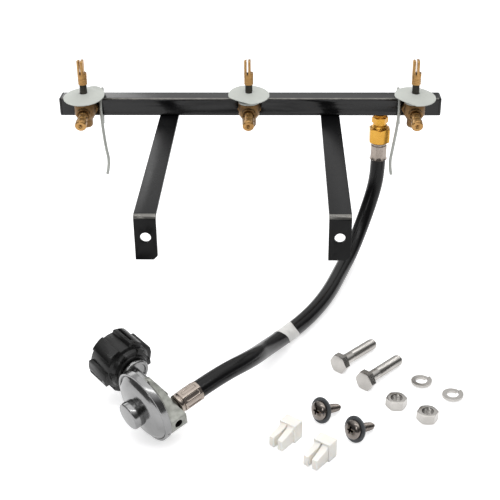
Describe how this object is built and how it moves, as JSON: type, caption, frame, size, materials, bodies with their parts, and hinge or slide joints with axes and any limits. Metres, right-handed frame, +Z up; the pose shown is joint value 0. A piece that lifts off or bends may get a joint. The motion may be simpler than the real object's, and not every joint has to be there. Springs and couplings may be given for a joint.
{
  "type": "gas valve manifold with hose and regulator",
  "caption": "Square gas manifold on two bolt-down feet with push-and-turn valves, a rubber hose, a round pressure regulator with a hand nut, and its loose fixings.",
  "frame": {"origin": "midway between the two foot holes, on the outer faces of the feet", "axes": "+X along the manifold to the right, +Y from the feet to the manifold tube, +Z up along the valve stems"},
  "size_m": [0.3874, 0.3915, 0.2154],
  "materials": {
    "black_paint": "gloss black",
    "cast_brass": "as cast, brown",
    "brass": "machined",
    "yellow_brass": "bright, yellow",
    "satin_wire": "satin zinc plate",
    "dark_steel": "dark, machined",
    "bright_steel": "bright",
    "spring_steel": "satin",
    "grey_disc": "satin",
    "hose_rubber": "smooth, slight sheen",
    "label_film": "satin, blank",
    "diaphragm_rubber": "matt",
    "die_cast": "as cast",
    "zinc_cover": "bright zinc plate",
    "black_plastic": "satin",
    "stainless": "bright",
    "black_steel": "dark, polished",
    "grey_rubber": "matt",
    "white_nylon": "milky"
  },
  "bodies": {
    "manifold": {"manifold_tube": "black_paint", "tube_end_caps": "black_paint", "bracket_left": "black_paint", "bracket_right": "black_paint", "valve_bonnets": "satin_wire", "valve_body_left": "cast_brass", "valve_body_middle": "cast_brass", "valve_body_right": "cast_brass", "orifice_spuds": "brass", "hose_stem": "brass", "outlet_barb": "dark_steel", "main_spring": "spring_steel", "wire_clip_left": "satin_wire", "wire_clip_right": "satin_wire", "bonnet_screws": "bright_steel", "lever_pin": "bright_steel", "inlet_nipple": "bright_steel", "stem_discs": "grey_disc", "hose_adapter": "yellow_brass", "ferrule_upper": "bright_steel", "ferrule_lower": "bright_steel", "inlet_collar": "bright_steel", "hose": "hose_rubber", "hose_label": "label_film", "diaphragm": "diaphragm_rubber", "regulator_body": "die_cast", "regulator_cover": "zinc_cover", "adjuster_cap": "zinc_cover", "thermal_bushing": "black_plastic", "hex_bolts": "stainless", "hex_nuts": "stainless", "lock_washers": "stainless", "pan_screws": "black_steel", "screw_washers": "grey_rubber", "nylon_inserts": "white_nylon"},
    "turning_left": {"valve_plug_left": "brass", "stem_spring_left": "spring_steel"},
    "turning_middle": {"valve_plug_middle": "brass", "stem_spring_middle": "spring_steel"},
    "turning_right": {"valve_plug_right": "brass", "stem_spring_right": "spring_steel"},
    "stem_left": {"valve_stem_left": "dark_steel", "stem_sleeve_left": "brass"},
    "stem_middle": {"valve_stem_middle": "dark_steel", "stem_sleeve_middle": "brass"},
    "stem_right": {"valve_stem_right": "dark_steel", "stem_sleeve_right": "brass"},
    "flare_nut": {"flare_nut": "yellow_brass"},
    "coupling_nut": {"coupling_nut": "black_plastic"},
    "diaphragm_plate": {"diaphragm_plate": "bright_steel"},
    "lever": {"lever": "bright_steel"},
    "seat_plunger": {"seat_plunger": "brass"},
    "check_poppet": {"check_poppet": "bright_steel"},
    "adjusting_screw": {"adjusting_screw": "bright_steel"}
  },
  "joints": [
    {"name": "valve_turn_left", "type": "hinge", "parent": "manifold", "child": "turning_left", "pos_m": [-0.165, 0.212, 0.0213], "axis": [0, 0, 1], "range_deg": [0, 225]},
    {"name": "valve_push_left", "type": "slide", "parent": "turning_left", "child": "stem_left", "axis": [0, 0, -1], "range_m": [0, 0.0025], "stiffness_N_per_m": 900, "springref_m": -0.002, "deforming": ["stem_spring_left"]},
    {"name": "valve_turn_middle", "type": "hinge", "parent": "manifold", "child": "turning_middle", "pos_m": [0, 0.212, 0.0213], "axis": [0, 0, 1], "range_deg": [0, 225]},
    {"name": "valve_push_middle", "type": "slide", "parent": "turning_middle", "child": "stem_middle", "axis": [0, 0, -1], "range_m": [0, 0.0025], "stiffness_N_per_m": 900, "springref_m": -0.002, "deforming": ["stem_spring_middle"]},
    {"name": "valve_turn_right", "type": "hinge", "parent": "manifold", "child": "turning_right", "pos_m": [0.165, 0.212, 0.0213], "axis": [0, 0, 1], "range_deg": [0, 225]},
    {"name": "valve_push_right", "type": "slide", "parent": "turning_right", "child": "stem_right", "axis": [0, 0, -1], "range_m": [0, 0.0025], "stiffness_N_per_m": 900, "springref_m": -0.002, "deforming": ["stem_spring_right"]},
    {"name": "flare_nut_turn", "type": "hinge", "parent": "manifold", "child": "flare_nut", "pos_m": [0.1337, 0.23553, -0.0017], "axis": [0, 0, 1], "continuous": true},
    {"name": "coupling_nut_turn", "type": "hinge", "parent": "manifold", "child": "coupling_nut", "pos_m": [-0.10393, -0.0455, -0.09259], "axis": [-0.6779, 0.7242, 0.1266], "continuous": true},
    {"name": "diaphragm_lift", "type": "slide", "parent": "manifold", "child": "diaphragm_plate", "axis": [-0.7335, -0.6548, -0.1823], "range_m": [-0.0012, 0], "stiffness_N_per_m": 400},
    {"name": "lever_turn", "type": "hinge", "parent": "manifold", "child": "lever", "pos_m": [-0.08177, -0.08952, -0.10124], "axis": [-0.0491, -0.2164, 0.9751], "range_deg": [0, 6]},
    {"name": "seat_lift", "type": "slide", "parent": "manifold", "child": "seat_plunger", "axis": [-0.7335, -0.6548, -0.1823], "range_m": [0, 0.0006]},
    {"name": "poppet_push", "type": "slide", "parent": "manifold", "child": "check_poppet", "axis": [0.6779, -0.7242, -0.1266], "range_m": [0, 0.002], "stiffness_N_per_m": 150, "springref_m": -0.002},
    {"name": "adjusting_turn", "type": "hinge", "parent": "manifold", "child": "adjusting_screw", "pos_m": [-0.08614, -0.11011, -0.10162], "axis": [-0.7335, -0.6548, -0.1823], "range_deg": [-180, 180]}
  ],
  "couplings": [
    {"joint": "lever_turn", "follows": "diaphragm_lift", "rad_per_m": -83.333},
    {"joint": "seat_lift", "follows": "diaphragm_lift", "ratio": -0.45}
  ]
}
